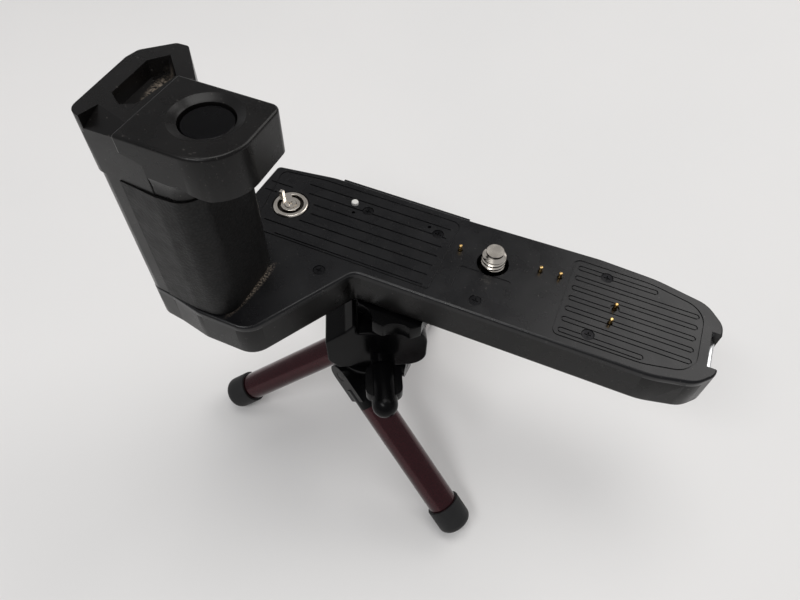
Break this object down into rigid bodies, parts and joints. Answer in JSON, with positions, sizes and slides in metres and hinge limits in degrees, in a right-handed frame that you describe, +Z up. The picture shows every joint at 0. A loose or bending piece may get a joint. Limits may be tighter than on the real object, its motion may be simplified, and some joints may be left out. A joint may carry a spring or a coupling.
{
  "type": "camera power winder on table tripod",
  "caption": "Power winder base with hand grip, shutter button and drive coupling for a film camera, on a folding table tripod with a ball head.",
  "frame": {"origin": "on the camera screw's axis, in the face that the camera rests on", "axes": "+X along the winder away from the grip, +Y towards the viewer, +Z up"},
  "size_m": [0.1399, 0.0871, 0.1415],
  "materials": {
    "black_satin": "satin",
    "seat_black": "satin",
    "leather_grain": "grained",
    "gloss_black": "glossy",
    "burgundy_metal": "metallic",
    "foot_rubber": "matte",
    "nickel": "polished",
    "steel": "satin",
    "gold": "polished",
    "white_nylon": "satin",
    "dark_steel": "satin",
    "board_green": "satin",
    "cell_wrap": "satin",
    "aluminium": "satin"
  },
  "bodies": {
    "tripod_crown": {"leg_crown": "gloss_black", "leg_pins": "dark_steel", "crown_bolt": "steel", "head_housing": "gloss_black"},
    "leg_1": {"leg_fitting_1": "gloss_black", "leg_tube_1": "burgundy_metal", "rubber_foot_1": "foot_rubber"},
    "leg_2": {"leg_fitting_2": "gloss_black", "leg_tube_2": "burgundy_metal", "rubber_foot_2": "foot_rubber"},
    "leg_3": {"leg_fitting_3": "gloss_black", "leg_tube_3": "burgundy_metal", "rubber_foot_3": "foot_rubber"},
    "knob": {"lock_knob": "gloss_black", "lock_screw": "steel"},
    "ball_ring": {"ball_seat": "white_nylon"},
    "ball": {"ball_stem": "steel"},
    "wheel": {"thumbwheel": "gloss_black"},
    "winder": {"base_tray": "black_satin", "top_plate": "seat_black", "grip_shell": "black_satin", "grip_leather": "leather_grain", "rear_cap": "black_satin", "trigger_head": "black_satin", "button_spring": "steel", "button_switch": "black_satin", "motor": "steel", "gear_plate": "steel", "pin_barrels": "gold", "guide_pin": "white_nylon", "plate_screws": "dark_steel", "circuit_board": "board_green", "strap_bar": "steel", "tripod_socket": "steel", "cell_contacts": "nickel", "door_pin": "steel", "battery_cell_1": "cell_wrap", "battery_cell_2": "cell_wrap", "battery_cell_3": "cell_wrap", "battery_cell_4": "cell_wrap"},
    "button": {"shutter_button": "gloss_black"},
    "coupler": {"drive_coupler": "nickel", "coupler_gear": "white_nylon", "coupler_key": "nickel", "coupler_screw": "nickel"},
    "idler": {"idler_gear": "white_nylon"},
    "motor_shaft": {"motor_pinion": "gold"},
    "mount_screw": {"camera_screw": "nickel", "screw_wheel": "black_satin", "screw_clip": "steel"},
    "switch_slide": {"power_switch": "black_satin"},
    "door": {"battery_door": "black_satin", "door_contacts": "nickel"},
    "pin_1": {"contact_pin_1": "gold"},
    "pin_2": {"contact_pin_2": "gold"},
    "pin_3": {"contact_pin_3": "gold"},
    "pin_4": {"contact_pin_4": "gold"},
    "pin_5": {"contact_pin_5": "gold"}
  },
  "joints": [
    {"name": "leg_1_fold", "type": "hinge", "parent": "tripod_crown", "child": "leg_1", "pos_m": [-0.03294, -0.0215, -0.0439], "axis": [0.3795, 0.9252, 0], "range_deg": [0, 52.6]},
    {"name": "leg_2_fold", "type": "hinge", "parent": "tripod_crown", "child": "leg_2", "pos_m": [-0.03341, -0.00691, -0.0439], "axis": [0.4384, -0.8988, 0], "range_deg": [0, 52.6]},
    {"name": "leg_3_fold", "type": "hinge", "parent": "tripod_crown", "child": "leg_3", "pos_m": [-0.02198, -0.01299, -0.0439], "axis": [-0.9903, -0.1392, 0], "range_deg": [0, 52.6]},
    {"name": "knob_turn", "type": "hinge", "parent": "tripod_crown", "child": "knob", "pos_m": [-0.02124, -0.02316, -0.0333], "axis": [0.454, -0.891, 0], "range_deg": [-180, 180]},
    {"name": "ball_pan", "type": "hinge", "parent": "tripod_crown", "child": "ball_ring", "pos_m": [-0.02161, -0.01088, -0.0255], "axis": [0, 0, 1], "range_deg": [-12, 12]},
    {"name": "ball_tilt", "type": "hinge", "parent": "ball_ring", "child": "ball", "pos_m": [-0.02161, -0.01088, -0.0255], "axis": [-0.454, 0.891, 0], "range_deg": [0, 35]},
    {"name": "winder_turn", "type": "hinge", "parent": "ball", "child": "winder", "pos_m": [-0.02161, -0.01088, -0.012], "axis": [0, 0, 1], "continuous": true},
    {"name": "wheel_turn", "type": "hinge", "parent": "ball", "child": "wheel", "pos_m": [-0.02161, -0.01088, -0.015], "axis": [0, 0, 1], "continuous": true},
    {"name": "button_press", "type": "slide", "parent": "winder", "child": "button", "axis": [0, 0, -1], "range_m": [0, 0.0013], "stiffness_N_per_m": 800, "springref_m": -0.0015, "deforming": ["button_spring"]},
    {"name": "coupler_spin", "type": "hinge", "parent": "winder", "child": "coupler", "pos_m": [-0.059, -0.003, 0], "axis": [0, 0, 1], "continuous": true},
    {"name": "idler_spin", "type": "hinge", "parent": "winder", "child": "idler", "pos_m": [-0.04762, -0.00501, -0.004], "axis": [0, 0, 1], "continuous": true},
    {"name": "motor_spin", "type": "hinge", "parent": "winder", "child": "motor_shaft", "pos_m": [-0.03741, -0.00774, -0.004], "axis": [0, 0, 1], "continuous": true},
    {"name": "mount_screw_turn", "type": "hinge", "parent": "winder", "child": "mount_screw", "pos_m": [0, 0, 0], "axis": [0, 0, 1], "continuous": true},
    {"name": "pin_1_press", "type": "slide", "parent": "winder", "child": "pin_1", "axis": [0, 0, -1], "range_m": [0, 0.0012], "stiffness_N_per_m": 200, "springref_m": -0.0015},
    {"name": "pin_2_press", "type": "slide", "parent": "winder", "child": "pin_2", "axis": [0, 0, -1], "range_m": [0, 0.0012], "stiffness_N_per_m": 200, "springref_m": -0.0015},
    {"name": "pin_3_press", "type": "slide", "parent": "winder", "child": "pin_3", "axis": [0, 0, -1], "range_m": [0, 0.0012], "stiffness_N_per_m": 200, "springref_m": -0.0015},
    {"name": "pin_4_press", "type": "slide", "parent": "winder", "child": "pin_4", "axis": [0, 0, -1], "range_m": [0, 0.0012], "stiffness_N_per_m": 200, "springref_m": -0.0015},
    {"name": "pin_5_press", "type": "slide", "parent": "winder", "child": "pin_5", "axis": [0, 0, -1], "range_m": [0, 0.0012], "stiffness_N_per_m": 200, "springref_m": -0.0015},
    {"name": "switch_slide", "type": "slide", "parent": "winder", "child": "switch_slide", "axis": [1, 0, 0], "range_m": [0, 0.0036]},
    {"name": "door_open", "type": "hinge", "parent": "winder", "child": "door", "pos_m": [-0.065, -0.0192, -0.0109], "axis": [1, 0, 0], "range_deg": [0, 100]}
  ],
  "couplings": [
    {"joint": "idler_spin", "follows": "coupler_spin", "ratio": -2.8333},
    {"joint": "motor_spin", "follows": "coupler_spin", "ratio": 7.0833}
  ]
}
